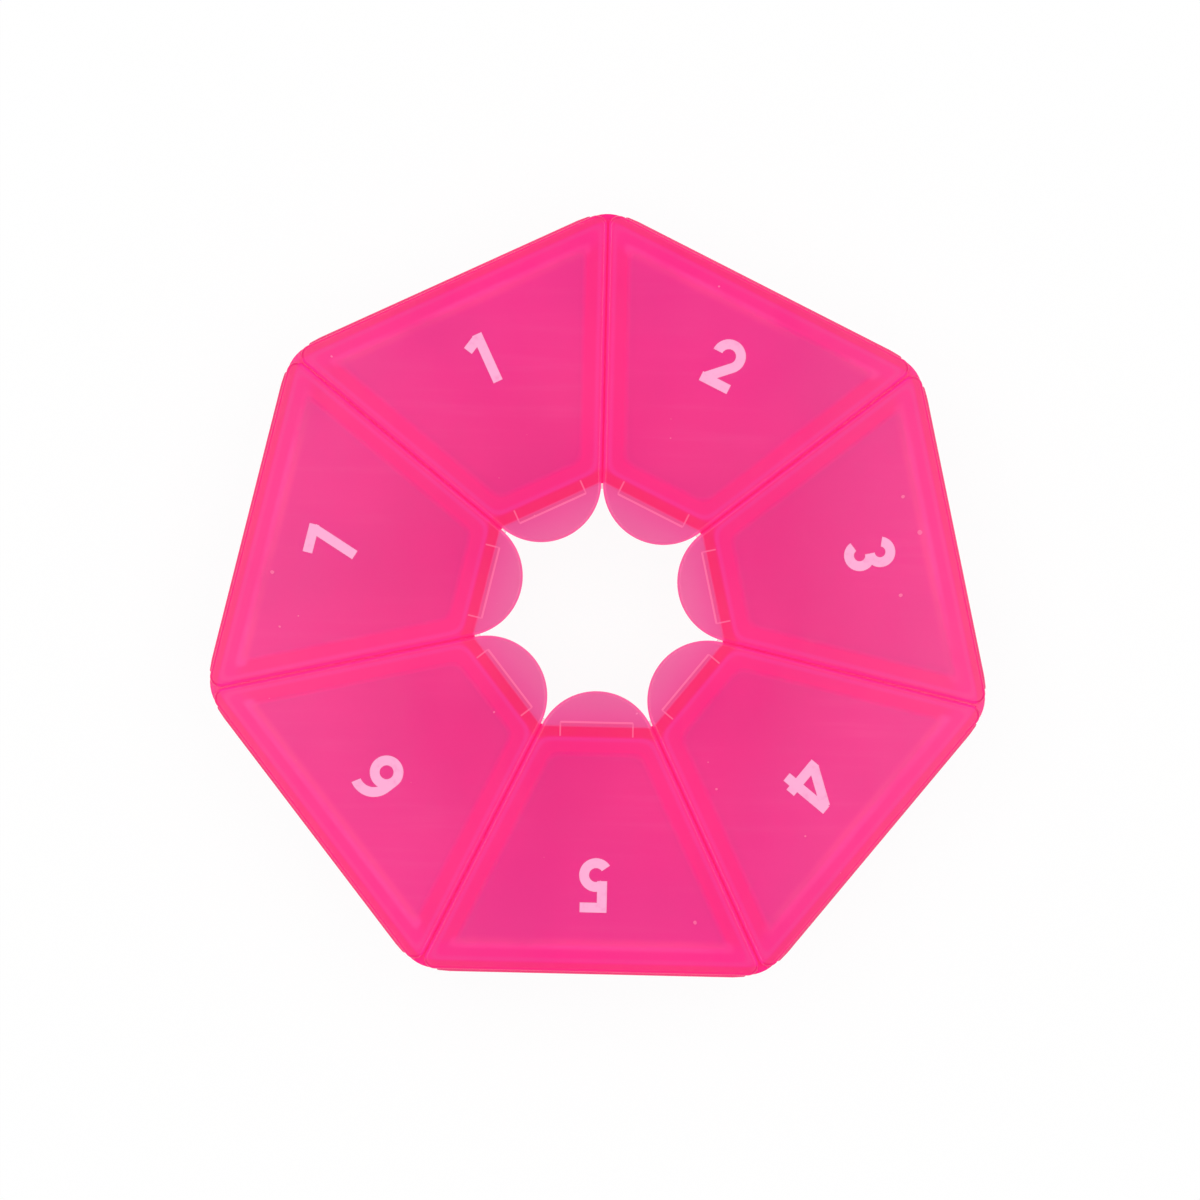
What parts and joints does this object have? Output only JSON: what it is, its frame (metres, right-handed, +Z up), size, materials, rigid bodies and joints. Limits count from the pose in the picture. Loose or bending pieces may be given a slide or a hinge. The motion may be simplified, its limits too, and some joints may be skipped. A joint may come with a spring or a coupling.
{
  "type": "weekly pill box",
  "caption": "Seven-sided pill organiser: wedge compartments round an open centre, each with a flip lid on a living hinge and a half-round finger tab.",
  "frame": {"origin": "on the centre axis of the hole, in the plane that the tray stands on", "axes": "+Z up along the centre axis; one outer corner of the tray points along +Y, so the flat of compartment 5 faces -Y"},
  "size_m": [0.0966, 0.0944, 0.0211],
  "materials": {
    "tray_plastic": "translucent pink polypropylene, satin gloss",
    "lid_plastic": "translucent pink polypropylene, gloss",
    "web_plastic": "thin flexed polypropylene, paler than the walls",
    "print_ink": "pad-printed pale pink ink"
  },
  "bodies": {
    "base": {"base_tray": "tray_plastic", "hinge_web_1": "web_plastic", "hinge_web_2": "web_plastic", "hinge_web_3": "web_plastic", "hinge_web_4": "web_plastic", "hinge_web_5": "web_plastic", "hinge_web_6": "web_plastic", "hinge_web_7": "web_plastic"},
    "lid_1": {"lid_1": "lid_plastic"},
    "lid_2": {"lid_2": "lid_plastic"},
    "lid_3": {"lid_3": "lid_plastic"},
    "lid_4": {"lid_4": "lid_plastic"},
    "lid_5": {"lid_5": "lid_plastic"},
    "lid_6": {"lid_6": "lid_plastic"},
    "lid_7": {"lid_7": "lid_plastic"}
  },
  "joints": [
    {"name": "lid_1_hinge", "type": "hinge", "parent": "base", "child": "lid_1", "pos_m": [-0.01964, 0.04079, 0.01953], "axis": [-0.901, -0.4339, 0], "range_deg": [0, 180], "deforming": ["hinge_web_1"]},
    {"name": "lid_2_hinge", "type": "hinge", "parent": "base", "child": "lid_2", "pos_m": [0.01964, 0.04079, 0.01953], "axis": [-0.901, 0.4339, 0], "range_deg": [0, 180], "deforming": ["hinge_web_2"]},
    {"name": "lid_3_hinge", "type": "hinge", "parent": "base", "child": "lid_3", "pos_m": [0.04414, 0.01007, 0.01953], "axis": [-0.2225, 0.9749, 0], "range_deg": [0, 180], "deforming": ["hinge_web_3"]},
    {"name": "lid_4_hinge", "type": "hinge", "parent": "base", "child": "lid_4", "pos_m": [0.03539, -0.02823, 0.01953], "axis": [0.6235, 0.7818, 0], "range_deg": [0, 180], "deforming": ["hinge_web_4"]},
    {"name": "lid_5_hinge", "type": "hinge", "parent": "base", "child": "lid_5", "pos_m": [0, -0.04527, 0.01953], "axis": [1, 0, 0], "range_deg": [0, 180], "deforming": ["hinge_web_5"]},
    {"name": "lid_6_hinge", "type": "hinge", "parent": "base", "child": "lid_6", "pos_m": [-0.03539, -0.02823, 0.01953], "axis": [0.6235, -0.7818, 0], "range_deg": [0, 180], "deforming": ["hinge_web_6"]},
    {"name": "lid_7_hinge", "type": "hinge", "parent": "base", "child": "lid_7", "pos_m": [-0.04414, 0.01007, 0.01953], "axis": [-0.2225, -0.9749, 0], "range_deg": [0, 180], "deforming": ["hinge_web_7"]}
  ]
}
